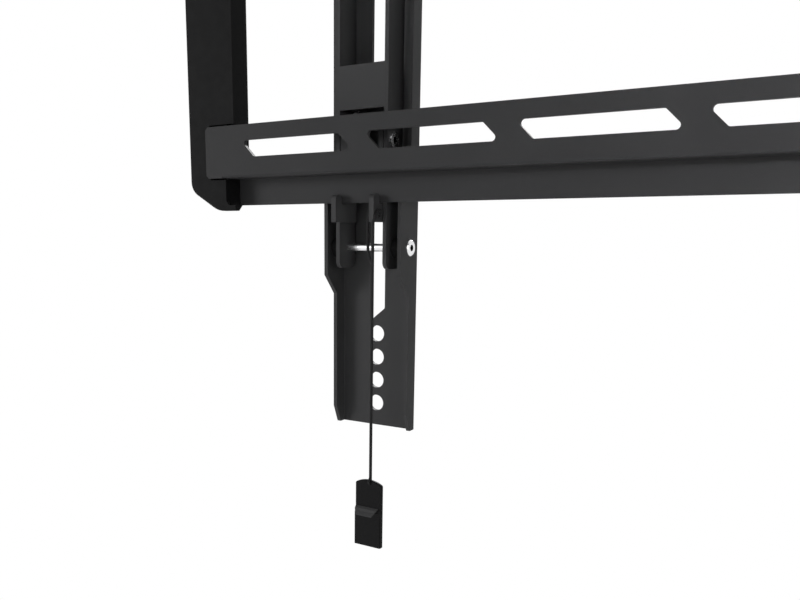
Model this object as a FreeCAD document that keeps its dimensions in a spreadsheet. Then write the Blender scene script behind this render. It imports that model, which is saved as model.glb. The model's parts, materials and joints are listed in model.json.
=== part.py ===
"""Tilting wall bracket for a flat screen: a slotted steel frame for the wall and two hooked arms.

X runs along the rails, Y points from the wall to the screen and Z is up. The origin is the centre
of the frame's wall slots, on the wall. Lengths are in millimetres.
"""

import FreeCAD, Part
import os
import re

import Sketcher

Vector = FreeCAD.Vector

SIZES = {
    # Slotted rails, two alike, one turned over
    "rail_length": 600,
    "slot_row_spacing": 150,
    "slot_to_bend": 13.6,
    "plate_height": 25,
    "band_height": 13,
    "rail_depth": 16,
    "rail_sheet": 2,
    "rail_bend": 0.4,
    "rail_bend_outside": 1.2,
    "band_setback": 10.4,
    "plate_corner": 1.5,
    "slot_count": 8,
    "slot_pitch": 70,
    "slot_flat": 56.5,
    "slot_height": 8,
    "slot_corner": 1.6,
    # Side covers and the steel struts inside them
    "cover_overhang": 13.9,
    "cover_width": 30,
    "cover_front": 3,
    "cover_plate": 2,
    "cover_wall": 1.8,
    "cover_drop": 3,
    "cover_lip": 6,
    "slope_rise": 10.6,
    "slope_run": 18.2,
    "slope_upper_radius": 8,
    "slope_lower_radius": 14,
    "cover_edge": 1.7,
    "cover_back_edge": 0.8,
    "band_gap": 0.2,
    "notch_corner": 3,
    "plate_side_gap": 1.2,
    "plate_end_gap": 0.6,
    "strut_width": 16,
    "strut_sheet": 2,
    "strut_depth": 8,
    "strut_foot_width": 7,
    "strut_foot_height": 18,
    "strut_inset": 4.4,
    # Arms that the screen is bolted to
    "arm_offset": 217.8,
    "arm_width": 43,
    "arm_sheet": 2,
    "arm_reach": 35,
    "arm_bend": 0.4,
    "arm_bend_outside": 1.6,
    "flange_depth": 9.3,
    "ear_gap": 1.1,
    "ear_below": 13.5,
    "ear_above": 33,
    "ear_slope": 9.7,
    "hole_span": 400,
    "hole_drop": 79.2,
    "hole_pitch": 12,
    "hole_diameter": 8.2,
    "arm_margin": 11.6,
    "foot_cut_width": 3.8,
    "foot_cut_height": 9,
    "arm_slot_width": 8.6,
    "arm_slot_drop": 30.2,
    "arm_slot_slant": 7,
    "arm_slot_length": 60,
    "middle_slot_length": 84,
    "arm_slot_corner": 1.2,
    # Tilt hinge at the foot of each arm
    "hinge_drop": 21,
    "pin_diameter": 4,
    "head_diameter": 7.7,
    "head_height": 1.3,
    "head_hollow": 3,
    "hollow_depth": 2.6,
    "head_edge": 0.5,
    "fit_gap": 0.05,
    "bush_diameter": 10,
    "bush_web_gap": 2.5,
    "tilt_angle": 8,
    "stop_rise": 28,
    "stop_forward": 2.1,
    "stop_head_diameter": 6,
    "stop_slot_gap": 0.2,
    # Channel that hooks over the top rail and carries the hinge
    "channel_width": 28,
    "channel_sheet": 2,
    "channel_back_gap": 2,
    "channel_foot": 10,
    "channel_corner": 3.5,
    "slide_gap": 0.3,
    "tie_gap": 3.2,
    "tie_height": 19.7,
    "head_tie_height": 20,
    "hook_thickness": 5.5,
    "hook_tip": 4,
    "hook_height": 9,
    "hook_corner": 2.4,
    "spring_tab_reach": 9,
    "spring_tab_width": 6,
    "rail_rest_gap": 0.1,
    # Sprung latch that grips the bottom rail
    "latch_side_gap": 0.4,
    "latch_sheet": 2.5,
    "latch_depth": 10.8,
    "latch_drop": 9,
    "latch_gap": 0.5,
    "latch_tip": 3.8,
    "latch_play": 0.1,
    "latch_foot_rise": 2,
    "latch_neck_depth": 8.5,
    "latch_head": 3.1,
    "latch_web_bottom": 1,
    "latch_web_height": 8,
    "latch_travel": 6,
    "lug_width": 4.6,
    "lug_drop": 4.2,
    "lug_height": 12,
    "guide_lug_gap": 0.1,
    "guide_low": 12.5,
    "guide_high": 28.2,
    "guide_head_diameter": 7.4,
    "guide_inner_lip": 0.25,
    "guide_inner_height": 1,
    "guide_slot_gap": 0.15,
    "cord_hole_diameter": 1.8,
    "cord_hole_rise": 2.6,
    "cord_hole_inset": 5,
    "spring_diameter": 6,
    "spring_wall": 0.8,
    "spring_inset": 5.1,
    "spring_shift": 4.6,
    "spring_hole_diameter": 1.8,
    "spring_end_gap": 0.3,
    # Release cord and its pull tag
    "cord_diameter": 1.5,
    "cord_inset": 1.3,
    "cord_length": 124.9,
    "tag_width": 15,
    "tag_shift": 0.35,
    "tag_height": 34.2,
    "tag_thickness": 2,
    "tag_arch": 2,
    "tag_corner": 1.2,
    "tag_ridge_drop": 14,
    "tag_ridge_height": 2.3,
    "tag_ridge_depth": 1.2,
    "tag_ridge_width": 13.2,
    "tag_ridge_slant": 2.2,
    "tag_step_depth": 1,
    "tag_step_height": 2.1,
    "tag_edge": 0.5,
}

doc = FreeCAD.newDocument("tilting_wall_bracket")
sheet = doc.addObject("Spreadsheet::Sheet", "Sizes")
for row, (alias, size) in enumerate(SIZES.items(), start=1):
    sheet.set(f"A{row}", alias.replace("_", " "))
    sheet.set(f"B{row}", str(size))
    sheet.setAlias(f"B{row}", alias)
doc.recompute()

working = doc.addObject("Spreadsheet::Sheet", "Working")
known_numbers = {}
bodies = []


def bound(text):
    """Writes the sheet's name before each alias, as an expression outside the sheet needs."""
    return re.sub(r"[a-z_]+", lambda word: f"Sizes.{word[0]}" if word[0] in SIZES else word[0], text)


def number(text):
    """The present value of a formula in the sheet's aliases."""
    if text not in known_numbers:
        working.set("A1", f"={bound(text)}")
        working.recompute()
        known_numbers[text] = float(working.get("A1"))
    return known_numbers[text]


# Places that several pieces share, as formulas in the sheet's aliases
BEND_EDGE = "(slot_row_spacing / 2 + slot_to_bend)"
BAND_EDGE = f"({BEND_EDGE} + band_height)"
PLATE_EDGE = f"({BEND_EDGE} - plate_height)"
BAND_FRONT = "(rail_depth - rail_sheet)"
COVER_OUTER = "(rail_length / 2 + cover_overhang)"
COVER_INNER = f"({COVER_OUTER} - cover_width)"
BAND_END = "(rail_length / 2 - band_setback)"
CHANNEL_FRONT = "(rail_depth + slide_gap)"
CHANNEL_BACK = "(arm_reach - arm_sheet - channel_back_gap)"
HOOK_THROAT = f"({BAND_FRONT} - slide_gap)"
HOOK_FRONT = f"({HOOK_THROAT} - hook_thickness)"
HINGE_Z = f"(-{BAND_EDGE} - hinge_drop)"
HINGE_Y = "(arm_reach - arm_sheet - bush_web_gap - bush_diameter / 2)"
STOP_Z = f"({HINGE_Z} + stop_rise)"
STOP_Y = f"({HINGE_Y} + stop_forward)"
LOW_HOLE_Z = f"({HINGE_Z} - hole_drop)"
HIGH_HOLE_Z = f"({LOW_HOLE_Z} + hole_span)"
ARM_MIDDLE_Z = f"({LOW_HOLE_Z} + hole_span / 2)"
ARM_SLOT_END_Z = f"({HINGE_Z} - arm_slot_drop)"
PIN_RADIUS = "(pin_diameter / 2)"
PIN_HOLE_RADIUS = "(pin_diameter / 2 + fit_gap)"
GUIDE_LOW_Z = f"(-{BAND_EDGE} + guide_low)"
GUIDE_HIGH_Z = f"(-{BAND_EDGE} + guide_high)"
GUIDE_SLOT_RADIUS = f"({PIN_HOLE_RADIUS} + guide_slot_gap)"
LATCH_HALF = "(channel_width / 2 - channel_sheet - latch_side_gap)"
LATCH_FRONT = f"({CHANNEL_FRONT} + latch_play)"
LATCH_BACK = f"({LATCH_FRONT} + latch_depth)"
LATCH_BOTTOM_Z = f"(-{BAND_EDGE} - latch_drop)"
LATCH_TOP_Z = f"({GUIDE_HIGH_Z} + latch_travel + {GUIDE_SLOT_RADIUS} + latch_head)"
LATCH_WEB_BOTTOM_Z = f"(-{BAND_EDGE} + latch_web_bottom)"
TONGUE_TOP_Z = f"({LATCH_WEB_BOTTOM_Z} + latch_sheet)"
GUIDE_Y = f"({LATCH_FRONT} + latch_sheet + {GUIDE_SLOT_RADIUS} + guide_lug_gap)"
SPRING_Y = f"({LATCH_FRONT} + spring_inset)"
TIE_BOTTOM_Z = f"({LATCH_TOP_Z} + tie_gap)"
TIE_TOP_Z = f"({TIE_BOTTOM_Z} + tie_height)"
CORD_Y = f"({HOOK_FRONT} + cord_inset)"
CORD_X = f"({LATCH_HALF} - latch_sheet / 2)"
CORD_END_Z = f"({LATCH_BOTTOM_Z} - cord_length)"


def new_body(label, place="0"):
    """An empty body whose origin lies on the wall, at the given place along the rails."""
    body = doc.addObject("PartDesign::Body", label)
    body.Label = label
    body.setExpression("Placement.Base.x", bound(place))
    bodies.append(body)
    return body


def turned_over(body):
    """Turns a body of the frame half a turn about Y, which swaps left with right and up with down."""
    body.Placement = FreeCAD.Placement(Vector(0, 0, 0), FreeCAD.Rotation(Vector(0, 1, 0), 180))
    return body


def new_sketch(body, role, name, lift="0"):
    """A sketch on one of the body's origin planes, raised along the plane's normal."""
    sketch = body.newObject("Sketcher::SketchObject", name)
    origin_plane = next(f for f in body.Origin.OriginFeatures if f.Role == role)
    sketch.AttachmentSupport = [(origin_plane, "")]
    sketch.MapMode = "FlatFace"
    sketch.setExpression("AttachmentOffset.Base.z", bound(lift))
    return sketch


def hold(sketch, kind, geometry, point, text):
    """Ties one coordinate of a point of a sketch to a formula."""
    index = sketch.addConstraint(Sketcher.Constraint(kind, geometry, point, number(text)))
    sketch.setExpression(f"Constraints[{index}]", bound(text))


def draw_polygon(sketch, corners):
    """A closed polygon whose corners are pairs of formulas."""
    points = [Vector(number(across), number(up), 0) for across, up in corners]
    first = sketch.GeometryCount
    count = len(corners)
    for point, following in zip(points, points[1:] + points[:1]):
        sketch.addGeometry(Part.LineSegment(point, following), False)
    for step in range(count):
        link = Sketcher.Constraint("Coincident", first + step, 2, first + (step + 1) % count, 1)
        sketch.addConstraint(link)
    for step, (across, up) in enumerate(corners):
        hold(sketch, "DistanceX", first + step, 1, across)
        hold(sketch, "DistanceY", first + step, 1, up)


def draw_rectangle(sketch, left, right, bottom, top):
    draw_polygon(sketch, [(left, bottom), (right, bottom), (right, top), (left, top)])


def draw_circle(sketch, across, up, radius):
    """A circle whose centre and radius are formulas."""
    centre = Vector(number(across), number(up), 0)
    circle = sketch.addGeometry(Part.Circle(centre, Vector(0, 0, 1), number(radius)), False)
    index = sketch.addConstraint(Sketcher.Constraint("Radius", circle, number(radius)))
    sketch.setExpression(f"Constraints[{index}]", bound(radius))
    hold(sketch, "DistanceX", circle, 3, across)
    hold(sketch, "DistanceY", circle, 3, up)


def pad(body, sketch, length, symmetric=False):
    feature = body.newObject("PartDesign::Pad", f"{sketch.Name}_pad")
    feature.Profile = sketch
    feature.SideType = "Symmetric" if symmetric else "One side"
    feature.setExpression("Length", bound(length))
    sketch.Visibility = False
    return feature


def cut_through(body, sketch):
    """Removes the sketched area right through the body, both ways."""
    feature = body.newObject("PartDesign::Pocket", f"{sketch.Name}_cut")
    feature.Profile = sketch
    feature.Type = "ThroughAll"
    feature.SideType = "Symmetric"
    sketch.Visibility = False
    return feature


def cut_band(body, sketch, thickness):
    """Removes the sketched area over a thickness that the sketch lies in the middle of."""
    feature = body.newObject("PartDesign::Pocket", f"{sketch.Name}_cut")
    feature.Profile = sketch
    feature.SideType = "Symmetric"
    feature.setExpression("Length", bound(thickness))
    sketch.Visibility = False
    return feature


def round_edges(body, name, radius, wanted):
    """Fillets the straight edges of the body for which wanted(middle, direction) holds."""
    return dress_edges(body, "PartDesign::Fillet", name, "Radius", radius, wanted)


def cut_edges(body, name, size, wanted):
    """Chamfers the straight edges of the body for which wanted(middle, direction) holds."""
    return dress_edges(body, "PartDesign::Chamfer", name, "Size", size, wanted)


def dress_edges(body, kind, name, size_name, size, wanted):
    doc.recompute()
    base = body.Tip
    if base.Shape.isNull():
        raise RuntimeError(f"{base.Name} failed before {name}: {base.State}")
    picked = []
    for index, edge in enumerate(base.Shape.Edges, start=1):
        if not isinstance(edge.Curve, Part.Line):
            continue
        middle = edge.valueAt((edge.FirstParameter + edge.LastParameter) / 2)
        if wanted(middle, edge.Curve.Direction):
            picked.append(f"Edge{index}")
    if not picked:
        raise RuntimeError(f"{body.Label}: no edge found for {name}")
    feature = body.newObject(kind, name)
    feature.Base = (base, picked)
    feature.setExpression(size_name, bound(size))
    base.Visibility = False
    return feature


def along(direction, axis):
    return abs(direction.dot(axis)) > 0.999


def near(value, text, slack=0.02):
    return abs(value - number(text)) < slack


AXIS_X, AXIS_Y, AXIS_Z = Vector(1, 0, 0), Vector(0, 1, 0), Vector(0, 0, 1)


def make_rail(label):
    """The bottom rail: a slotted plate on the wall, a step and a band that stands off the wall."""
    body = new_body(label)
    section = new_sketch(body, "YZ_Plane", f"{label}_section")
    draw_polygon(section, [
        ("0", f"-{PLATE_EDGE}"),
        ("0", f"-{BEND_EDGE}"),
        (BAND_FRONT, f"-{BEND_EDGE}"),
        (BAND_FRONT, f"-{BAND_EDGE}"),
        ("rail_depth", f"-{BAND_EDGE}"),
        ("rail_depth", f"-{BEND_EDGE} + rail_sheet"),
        ("rail_sheet", f"-{BEND_EDGE} + rail_sheet"),
        ("rail_sheet", f"-{PLATE_EDGE}"),
    ])
    pad(body, section, f"2 * {BAND_END}", symmetric=True)
    outer_bends = (("0", f"-{BEND_EDGE}"), ("rail_depth", f"-{BEND_EDGE} + rail_sheet"))
    inner_bends = (("rail_sheet", f"-{BEND_EDGE} + rail_sheet"), (BAND_FRONT, f"-{BEND_EDGE}"))
    for name, radius, places in (
        ("inner_bend", "rail_bend", inner_bends),
        ("outer_bend", "rail_bend_outside", outer_bends),
    ):
        round_edges(body, f"{label}_{name}", radius, lambda middle, direction: (
            along(direction, AXIS_X)
            and any(near(middle.y, deep) and near(middle.z, high) for deep, high in places)
        ))
    ends = new_sketch(body, "XZ_Plane", f"{label}_plate_ends", "-rail_sheet")
    for sign in ("-", ""):
        draw_rectangle(
            ends, f"{sign}{BAND_END}", f"{sign}rail_length / 2", f"-{BEND_EDGE}", f"-{PLATE_EDGE}"
        )
    pad(body, ends, "rail_sheet")
    cut_edges(body, f"{label}_plate_corner", "plate_corner", lambda middle, direction: (
        along(direction, AXIS_Y) and near(abs(middle.x), "rail_length / 2")
    ))
    first_left = "(-((slot_count - 1) * slot_pitch + slot_flat + slot_height) / 2)"
    slot_bottom = "(-slot_row_spacing / 2 - slot_height / 2)"
    slot_top = "(-slot_row_spacing / 2 + slot_height / 2)"
    slot = new_sketch(body, "XZ_Plane", f"{label}_slot")
    draw_polygon(slot, [
        (first_left, slot_top),
        (f"{first_left} + slot_flat", slot_top),
        (f"{first_left} + slot_flat + slot_height", slot_bottom),
        (f"{first_left} + slot_height", slot_bottom),
    ])
    pocket = cut_through(body, slot)
    pattern = body.newObject("PartDesign::LinearPattern", f"{label}_slot_row")
    pattern.Originals = [pocket]
    row_axis = next(f for f in body.Origin.OriginFeatures if f.Role == "X_Axis")
    pattern.Direction = (row_axis, [""])
    pattern.setExpression("Length", bound("(slot_count - 1) * slot_pitch"))
    pattern.setExpression("Occurrences", bound("slot_count"))
    body.Tip = pattern
    round_edges(body, f"{label}_slot_corner", "slot_corner", lambda middle, direction: (
        along(direction, AXIS_Y)
        and (near(middle.z, slot_top) or near(middle.z, slot_bottom))
    ))
    return body


def cover_outline(sketch):
    """The side cover's outline seen from the wall, with its two sloping outer corners."""
    end = f"({BAND_EDGE} + cover_drop)"
    draw_polygon(sketch, [
        (f"-{COVER_OUTER}", f"-{end} + slope_rise"),
        (f"-{COVER_OUTER} + slope_run", f"-{end}"),
        (f"-{COVER_INNER}", f"-{end}"),
        (f"-{COVER_INNER}", end),
        (f"-{COVER_OUTER} + slope_run", end),
        (f"-{COVER_OUTER}", f"{end} - slope_rise"),
    ])


def round_cover_corners(body, label):
    end = f"({BAND_EDGE} + cover_drop)"
    round_edges(body, f"{label}_upper_round", "slope_upper_radius", lambda middle, direction: (
        along(direction, AXIS_Y)
        and near(middle.x, f"-{COVER_OUTER}")
        and near(abs(middle.z), f"{end} - slope_rise")
    ))
    round_edges(body, f"{label}_lower_round", "slope_lower_radius", lambda middle, direction: (
        along(direction, AXIS_Y)
        and near(middle.x, f"-{COVER_OUTER} + slope_run")
        and near(abs(middle.z), end)
    ))


def cut_rail_notches(body, label):
    """Opens the cover's inner edge, top and bottom, for the end of each rail's step and band."""
    notch = new_sketch(body, "XZ_Plane", f"{label}_rail_notch")
    for sign in ("-", ""):
        draw_rectangle(
            notch,
            f"-{BAND_END} - band_gap",
            f"-{COVER_INNER} + cover_wall",
            f"{sign}({BAND_EDGE} + band_gap)",
            f"{sign}({BEND_EDGE} - rail_sheet - rail_bend)",
        )
    cut_through(body, notch)


def make_side_cover(label):
    """The moulded shell of one side: it faces the screen and is open towards the wall."""
    body = new_body(label)
    shell_front = "(cover_front + cover_plate)"
    outline = new_sketch(body, "XZ_Plane", f"{label}_outline", "-rail_depth")
    cover_outline(outline)
    pad(body, outline, f"rail_depth - {shell_front}")
    round_cover_corners(body, label)
    hollow_middle = f"({shell_front} + rail_depth - cover_wall) / 2"
    inside = new_sketch(body, "XZ_Plane", f"{label}_inside", f"-{hollow_middle}")
    end = f"({BAND_EDGE} - cover_wall)"
    left = f"-{COVER_OUTER} + cover_wall"
    notch_side = f"-{BAND_END} - band_gap - cover_wall"
    notch_end = f"({BEND_EDGE} - rail_sheet - rail_bend - cover_wall)"
    slope_end = f"({end} - slope_rise)"
    draw_polygon(inside, [
        (left, f"-{slope_end}"),
        (notch_side, f"-{end}"),
        (notch_side, f"-{notch_end}"),
        (f"-{COVER_INNER} - cover_wall", f"-{notch_end}"),
        (f"-{COVER_INNER} - cover_wall", notch_end),
        (notch_side, notch_end),
        (notch_side, end),
        (left, slope_end),
    ])
    cut_band(body, inside, f"rail_depth - cover_wall - {shell_front}")
    lip = new_sketch(body, "YZ_Plane", f"{label}_lip")
    low = f"({BAND_EDGE} + cover_drop)"
    for sign in ("-", ""):
        draw_polygon(lip, [
            ("cover_lip", f"{sign}({low})"),
            ("cover_lip + cover_drop", f"{sign}{BAND_EDGE}"),
            ("rail_depth + cover_wall", f"{sign}{BAND_EDGE}"),
            ("rail_depth + cover_wall", f"{sign}({low} + cover_wall)"),
            ("cover_lip", f"{sign}({low} + cover_wall)"),
        ])
    cut_through(body, lip)
    cut_rail_notches(body, label)
    round_edges(body, f"{label}_long_edges", "cover_edge", lambda middle, direction: (
        along(direction, AXIS_Z)
        and near(middle.y, "rail_depth")
        and (near(middle.x, f"-{COVER_OUTER}") or near(middle.x, f"-{COVER_INNER}"))
    ))
    return body


def make_cover_back(label):
    """The flat plate that closes a side cover towards the wall, cut out behind each slotted plate."""
    body = new_body(label)
    outline = new_sketch(body, "XZ_Plane", f"{label}_outline", f"-(cover_front + cover_plate)")
    cover_outline(outline)
    pad(body, outline, "cover_plate")
    round_cover_corners(body, label)
    cut_edges(body, f"{label}_wall_edge", "cover_back_edge", lambda middle, direction: (
        near(middle.y, "cover_front") and middle.x < number(f"-{COVER_INNER} - cover_edge")
    ))
    cut_rail_notches(body, label)
    round_edges(body, f"{label}_notch_round", "notch_corner", lambda middle, direction: (
        along(direction, AXIS_Y)
        and near(middle.x, f"-{BAND_END} - band_gap")
        and near(abs(middle.z), f"{BAND_EDGE} + band_gap")
    ))
    opening = new_sketch(body, "XZ_Plane", f"{label}_plate_opening")
    for sign in ("-", ""):
        draw_rectangle(
            opening,
            "-rail_length / 2 + band_gap",
            f"-{COVER_INNER} + cover_wall",
            f"{sign}({BEND_EDGE} + plate_end_gap)",
            f"{sign}({PLATE_EDGE} - plate_side_gap)",
        )
    cut_through(body, opening)
    return body


def make_side_strut(label):
    """The steel strip inside a side cover that is welded to the backs of both slotted plates."""
    body = new_body(label)
    foot_end = f"({BEND_EDGE} - strut_inset)"
    foot_left = "(-rail_length / 2 + 2 * band_gap)"
    foot_right = f"({foot_left} + strut_foot_width)"
    bar = new_sketch(body, "XZ_Plane", f"{label}_bar", "-strut_depth - strut_sheet")
    draw_rectangle(bar, f"{foot_right} - strut_width", foot_right, f"-{foot_end}", foot_end)
    pad(body, bar, "strut_sheet")
    foot = new_sketch(body, "YZ_Plane", f"{label}_feet", f"({foot_left} + {foot_right}) / 2")
    for sign in ("-", ""):
        draw_polygon(foot, [
            ("rail_sheet", f"{sign}{foot_end}"),
            ("strut_depth + strut_sheet", f"{sign}{foot_end}"),
            ("strut_depth + strut_sheet", f"{sign}({foot_end} - strut_sheet)"),
            ("rail_sheet + strut_sheet", f"{sign}({foot_end} - strut_sheet)"),
            ("rail_sheet + strut_sheet", f"{sign}({foot_end} - strut_foot_height)"),
            ("rail_sheet", f"{sign}({foot_end} - strut_foot_height)"),
        ])
    pad(body, foot, "strut_foot_width", symmetric=True)
    return body


def make_tv_arm(label, place):
    """The arm that the screen is bolted to: a channel open to the wall, with ears for the hinge."""
    body = new_body(label, place)
    half = "arm_width / 2"
    bottom = f"({LOW_HOLE_Z} - arm_margin)"
    top = f"({HIGH_HOLE_Z} + arm_margin)"
    ear_front = "(rail_depth + ear_gap)"
    flange_front = "(arm_reach - flange_depth)"
    web_inside = "(arm_reach - arm_sheet)"
    ear_low = f"({HINGE_Z} - ear_below)"
    ear_high = f"({HINGE_Z} + ear_above)"
    side = new_sketch(body, "YZ_Plane", f"{label}_side")
    draw_polygon(side, [
        ("arm_reach", bottom),
        ("arm_reach", top),
        (f"{flange_front} + foot_cut_width", top),
        (flange_front, f"{top} - foot_cut_height"),
        (flange_front, f"{ear_high} + ear_slope"),
        (ear_front, ear_high),
        (ear_front, ear_low),
        (flange_front, f"{ear_low} - ear_slope"),
        (flange_front, f"{bottom} + foot_cut_height"),
        (f"{flange_front} + foot_cut_width", bottom),
    ])
    pad(body, side, "arm_width", symmetric=True)
    inside = new_sketch(body, "XY_Plane", f"{label}_inside")
    draw_rectangle(inside, f"-{half} + arm_sheet", f"{half} - arm_sheet", "0", web_inside)
    cut_through(body, inside)
    round_edges(body, f"{label}_inner_bend", "arm_bend", lambda middle, direction: (
        along(direction, AXIS_Z)
        and near(middle.y, web_inside)
        and near(abs(middle.x), f"{half} - arm_sheet")
    ))
    round_edges(body, f"{label}_outer_bend", "arm_bend_outside", lambda middle, direction: (
        along(direction, AXIS_Z) and near(middle.y, "arm_reach") and near(abs(middle.x), half)
    ))
    web = new_sketch(body, "XZ_Plane", f"{label}_holes")
    for step in range(4):
        draw_circle(web, "0", f"{LOW_HOLE_Z} + {step} * hole_pitch", "hole_diameter / 2")
        draw_circle(web, "0", f"{HIGH_HOLE_Z} - {step} * hole_pitch", "hole_diameter / 2")
    cut_through(body, web)
    slots = new_sketch(body, "XZ_Plane", f"{label}_slots")
    right = "arm_slot_width / 2"
    mirror_end = f"(2 * {ARM_MIDDLE_Z} - {ARM_SLOT_END_Z})"
    draw_polygon(slots, [
        (f"-{right}", f"{ARM_SLOT_END_Z} - arm_slot_slant"),
        (right, ARM_SLOT_END_Z),
        (right, f"{ARM_SLOT_END_Z} + arm_slot_length"),
        (f"-{right}", f"{ARM_SLOT_END_Z} + arm_slot_length"),
    ])
    draw_polygon(slots, [
        (right, f"{mirror_end} + arm_slot_slant"),
        (f"-{right}", mirror_end),
        (f"-{right}", f"{mirror_end} - arm_slot_length"),
        (right, f"{mirror_end} - arm_slot_length"),
    ])
    draw_rectangle(
        slots,
        f"-{right}",
        right,
        f"{ARM_MIDDLE_Z} - middle_slot_length / 2",
        f"{ARM_MIDDLE_Z} + middle_slot_length / 2",
    )
    cut_through(body, slots)
    round_edges(body, f"{label}_slot_corners", "arm_slot_corner", lambda middle, direction: (
        along(direction, AXIS_Y) and near(abs(middle.x), right)
    ))
    hinge = new_sketch(body, "YZ_Plane", f"{label}_hinge_hole")
    draw_circle(hinge, HINGE_Y, HINGE_Z, PIN_HOLE_RADIUS)
    cut_through(body, hinge)
    stop_radius = f"({PIN_RADIUS} + stop_slot_gap)"
    stop_swing = "(stop_rise * sin(tilt_angle * 1deg))"
    stop = new_sketch(body, "YZ_Plane", f"{label}_stop_slot")
    draw_rectangle(
        stop,
        f"{STOP_Y} - {stop_swing} - {stop_radius}",
        f"{STOP_Y} + {stop_radius}",
        f"{STOP_Z} - {stop_radius}",
        f"{STOP_Z} + {stop_radius}",
    )
    cut_through(body, stop)
    round_edges(body, f"{label}_stop_slot_ends", f"0.9 * {stop_radius}", lambda middle, direction: (
        along(direction, AXIS_X)
        and near(abs(middle.z - number(STOP_Z)), stop_radius)
        and near(abs(middle.x), f"{half} - arm_sheet / 2")
    ))
    return body


def cut_spring_hole(body, label, bottom, thickness):
    """The hole that an end loop of the spring hooks into, in a level tab."""
    hole = new_sketch(body, "XY_Plane", f"{label}_spring_hole", f"{bottom} + {thickness} / 2")
    draw_circle(hole, "-spring_shift", SPRING_Y, "spring_hole_diameter / 2")
    cut_band(body, hole, f"2 * {thickness}")


def make_hook_channel(label, place):
    """The channel that hangs on the top rail: two flanges joined by ties on the side of the wall."""
    body = new_body(label, place)
    half = "channel_width / 2"
    foot = f"({HINGE_Z} - channel_foot)"
    rest = f"({BAND_EDGE} + rail_rest_gap)"
    top = f"({BAND_EDGE} + hook_height)"
    side = new_sketch(body, "YZ_Plane", f"{label}_side")
    draw_polygon(side, [
        (CHANNEL_FRONT, foot),
        (CHANNEL_BACK, foot),
        (CHANNEL_BACK, top),
        (HOOK_FRONT, top),
        (HOOK_FRONT, f"{BAND_EDGE} - hook_tip"),
        (HOOK_THROAT, f"{BAND_EDGE} - hook_tip"),
        (HOOK_THROAT, rest),
        (CHANNEL_FRONT, rest),
    ])
    pad(body, side, "channel_width", symmetric=True)
    inside = new_sketch(body, "XY_Plane", f"{label}_inside")
    inner = f"({half} - channel_sheet)"
    tie_back = f"({CHANNEL_FRONT} + channel_sheet)"
    draw_rectangle(inside, f"-{inner}", inner, tie_back, f"{CHANNEL_BACK} + channel_sheet")
    cut_through(body, inside)
    windows = new_sketch(body, "XZ_Plane", f"{label}_windows")
    upper_tie_top = f"-{TIE_BOTTOM_Z}"
    upper_tie_bottom = f"-{TIE_TOP_Z}"
    head_tie_bottom = f"({BAND_EDGE} - head_tie_height)"
    for low, high in (
        (f"{foot} - channel_sheet", TIE_BOTTOM_Z),
        (TIE_TOP_Z, upper_tie_bottom),
        (upper_tie_top, head_tie_bottom),
    ):
        draw_rectangle(windows, f"-{inner}", inner, low, high)
    cut_through(body, windows)
    head = new_sketch(body, "XZ_Plane", f"{label}_head_opening", f"-{HOOK_THROAT} / 2")
    head_low = f"({BAND_EDGE} - hook_tip - channel_sheet)"
    draw_rectangle(head, f"-{inner}", inner, head_low, f"{top} + channel_sheet")
    cut_band(body, head, f"{HOOK_THROAT} + 2 * slide_gap")
    tab = new_sketch(body, "XY_Plane", f"{label}_spring_tab", TIE_BOTTOM_Z)
    draw_rectangle(
        tab, "-spring_shift - spring_tab_width / 2", "-spring_shift + spring_tab_width / 2",
        CHANNEL_FRONT, f"{CHANNEL_FRONT} + spring_tab_reach",
    )
    pad(body, tab, "channel_sheet")
    cut_spring_hole(body, label, TIE_BOTTOM_Z, "channel_sheet")
    round_edges(body, f"{label}_foot_corners", "channel_corner", lambda middle, direction: (
        along(direction, AXIS_X) and near(middle.z, foot)
    ))
    round_edges(body, f"{label}_hook_corners", "hook_corner", lambda middle, direction: (
        along(direction, AXIS_X)
        and (near(middle.z, top) or near(middle.z, f"{BAND_EDGE} - hook_tip"))
        and (near(middle.y, HOOK_FRONT) or near(middle.y, CHANNEL_BACK))
    ))
    holes = new_sketch(body, "YZ_Plane", f"{label}_holes")
    draw_circle(holes, HINGE_Y, HINGE_Z, PIN_HOLE_RADIUS)
    draw_circle(holes, STOP_Y, STOP_Z, PIN_HOLE_RADIUS)
    draw_circle(holes, GUIDE_Y, GUIDE_LOW_Z, PIN_HOLE_RADIUS)
    draw_circle(holes, GUIDE_Y, GUIDE_HIGH_Z, PIN_HOLE_RADIUS)
    cut_through(body, holes)
    return body


def revolve(body, sketch):
    feature = body.newObject("PartDesign::Revolution", f"{sketch.Name}_turned")
    feature.Profile = sketch
    feature.ReferenceAxis = (sketch, ["H_Axis"])
    feature.Angle = 360
    sketch.Visibility = False
    return feature


def place_body(body, deep, high):
    """Moves a body from the wall plane's X axis to a depth and a height."""
    body.setExpression("Placement.Base.y", bound(deep))
    body.setExpression("Placement.Base.z", bound(high))


def make_tilt_pin(label, place):
    """The hinge pin, riveted over the arm's two ears, with a hollow in each head."""
    body = new_body(label, place)
    place_body(body, HINGE_Y, HINGE_Z)
    seat = "arm_width / 2"
    end = f"({seat} + head_height)"
    section = new_sketch(body, "XY_Plane", f"{label}_section")
    draw_polygon(section, [
        (f"-{end} + hollow_depth", "0"),
        (f"-{end} + hollow_depth", "head_hollow / 2"),
        (f"-{end}", "head_hollow / 2"),
        (f"-{end}", "head_diameter / 2 - head_edge"),
        (f"-{end} + head_edge", "head_diameter / 2"),
        (f"-{seat}", "head_diameter / 2"),
        (f"-{seat}", PIN_RADIUS),
        (seat, PIN_RADIUS),
        (seat, "head_diameter / 2"),
        (f"{end} - head_edge", "head_diameter / 2"),
        (end, "head_diameter / 2 - head_edge"),
        (end, "head_hollow / 2"),
        (f"{end} - hollow_depth", "head_hollow / 2"),
        (f"{end} - hollow_depth", "0"),
    ])
    revolve(body, section)
    return body


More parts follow.
